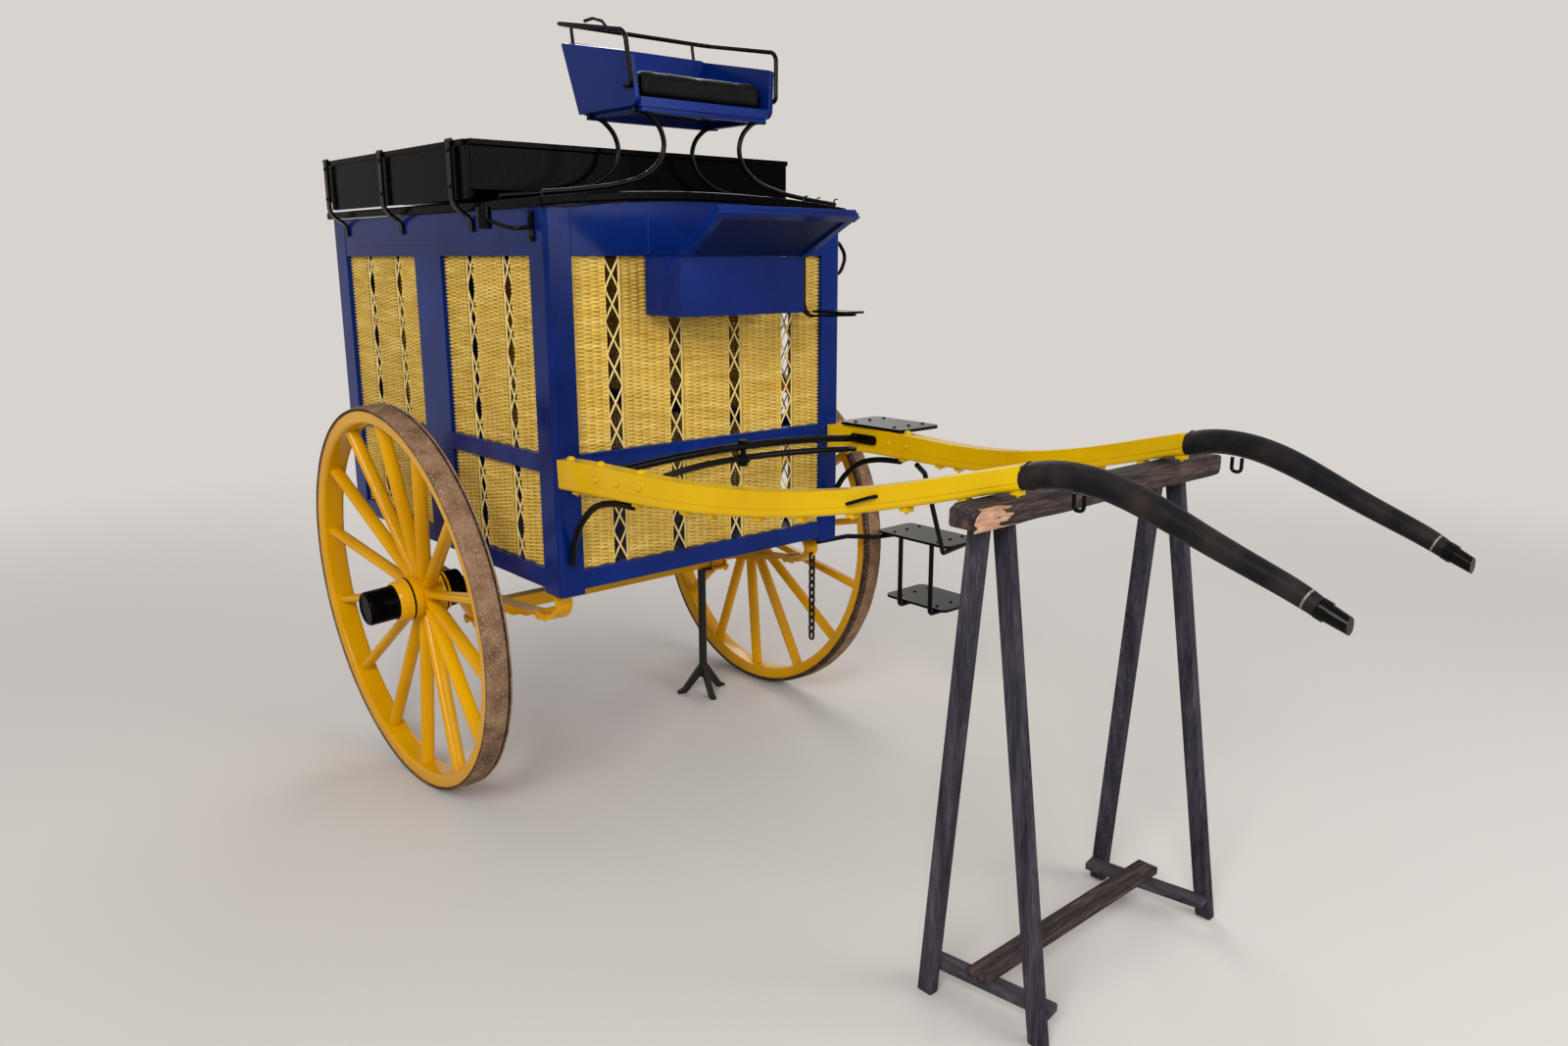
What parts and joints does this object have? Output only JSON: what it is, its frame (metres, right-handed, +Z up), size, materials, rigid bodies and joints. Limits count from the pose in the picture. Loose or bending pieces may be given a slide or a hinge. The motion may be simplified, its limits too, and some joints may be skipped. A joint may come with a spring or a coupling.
{
  "type": "two-wheeled game cart",
  "caption": "Two-wheeled shaft-drawn game cart with woven cane walls, roof tray, driver's seat, steps, leaf springs and rear doors, parked on a trestle.",
  "frame": {"origin": "on the ground under the middle of the bounding box", "axes": "+X forward along the shafts, +Y to the cart's left, +Z up"},
  "size_m": [3.45, 1.79, 2.2725],
  "materials": {
    "blue_paint": "gloss ultramarine paint on wood",
    "cane": "varnished woven cane",
    "black_paint": "gloss black paint on wood",
    "black_iron": "gloss black paint on wrought iron",
    "yellow_paint": "gloss chrome yellow paint",
    "leather": "black stitched leather",
    "tyre": "rough grey-brown tyre",
    "grey_timber": "weathered blue-grey timber"
  },
  "bodies": {
    "cart": {"corner_posts": "blue_paint", "side_frame_right": "blue_paint", "side_frame_left": "blue_paint", "front_frame": "blue_paint", "rear_frame": "blue_paint", "foot_box": "blue_paint", "floor_boards": "blue_paint", "seat_board": "blue_paint", "seat_arms": "blue_paint", "seat_back": "blue_paint", "toe_board": "blue_paint", "wicker_right": "cane", "wicker_left": "cane", "wicker_front": "cane", "roof": "black_paint", "tray_ends": "black_paint", "tray_sides": "black_paint", "tray_floor": "black_paint", "hinge_knuckles": "black_iron", "tray_stays": "black_iron", "seat_rail": "black_iron", "seat_irons": "black_iron", "lamp_brackets": "black_iron", "grab_handle": "black_iron", "front_step": "black_iron", "shaft_irons": "black_iron", "crossbar": "black_iron", "step_plates": "black_iron", "step_irons": "black_iron", "drag_chain": "black_iron", "axle_stand": "black_iron", "shaft_tips": "black_iron", "shaft_right": "yellow_paint", "shaft_left": "yellow_paint", "axle": "yellow_paint", "springs": "yellow_paint", "axle_clips": "yellow_paint", "spring_hangers": "yellow_paint", "shaft_sleeves": "leather", "seat_cushion": "leather", "trestle_beam": "grey_timber", "trestle_frame": "grey_timber"},
    "wheel_right": {"nave_right": "yellow_paint", "hub_cap_right": "black_iron", "spokes_right": "yellow_paint", "felloe_right": "yellow_paint", "tyre_right": "tyre"},
    "wheel_left": {"nave_left": "yellow_paint", "hub_cap_left": "black_iron", "spokes_left": "yellow_paint", "felloe_left": "yellow_paint", "tyre_left": "tyre"},
    "door_right": {"door_right": "blue_paint", "wicker_door_right": "cane", "door_straps_right": "black_iron"},
    "door_left": {"door_left": "blue_paint", "wicker_door_left": "cane", "door_straps_left": "black_iron", "door_handle": "black_iron"},
    "swingletree": {"swingletree": "black_iron"}
  },
  "joints": [
    {"name": "wheel_right_spin", "type": "hinge", "parent": "cart", "child": "wheel_right", "pos_m": [-0.86, -0.767, 0.60097], "axis": [0, 0.9982, 0.0593], "continuous": true},
    {"name": "wheel_left_spin", "type": "hinge", "parent": "cart", "child": "wheel_left", "pos_m": [-0.86, 0.677, 0.60097], "axis": [0, 0.9982, -0.0593], "continuous": true},
    {"name": "door_right_hinge", "type": "hinge", "parent": "cart", "child": "door_right", "pos_m": [-1.713, -0.494, 1.228], "axis": [0, 0, 1], "range_deg": [0, 110]},
    {"name": "door_left_hinge", "type": "hinge", "parent": "cart", "child": "door_left", "pos_m": [-1.713, 0.404, 1.228], "axis": [0, 0, -1], "range_deg": [0, 110]},
    {"name": "swingletree_pivot", "type": "hinge", "parent": "cart", "child": "swingletree", "pos_m": [-0.098, -0.045, 1.056], "axis": [0, 0, 1], "range_deg": [-10, 10]}
  ]
}
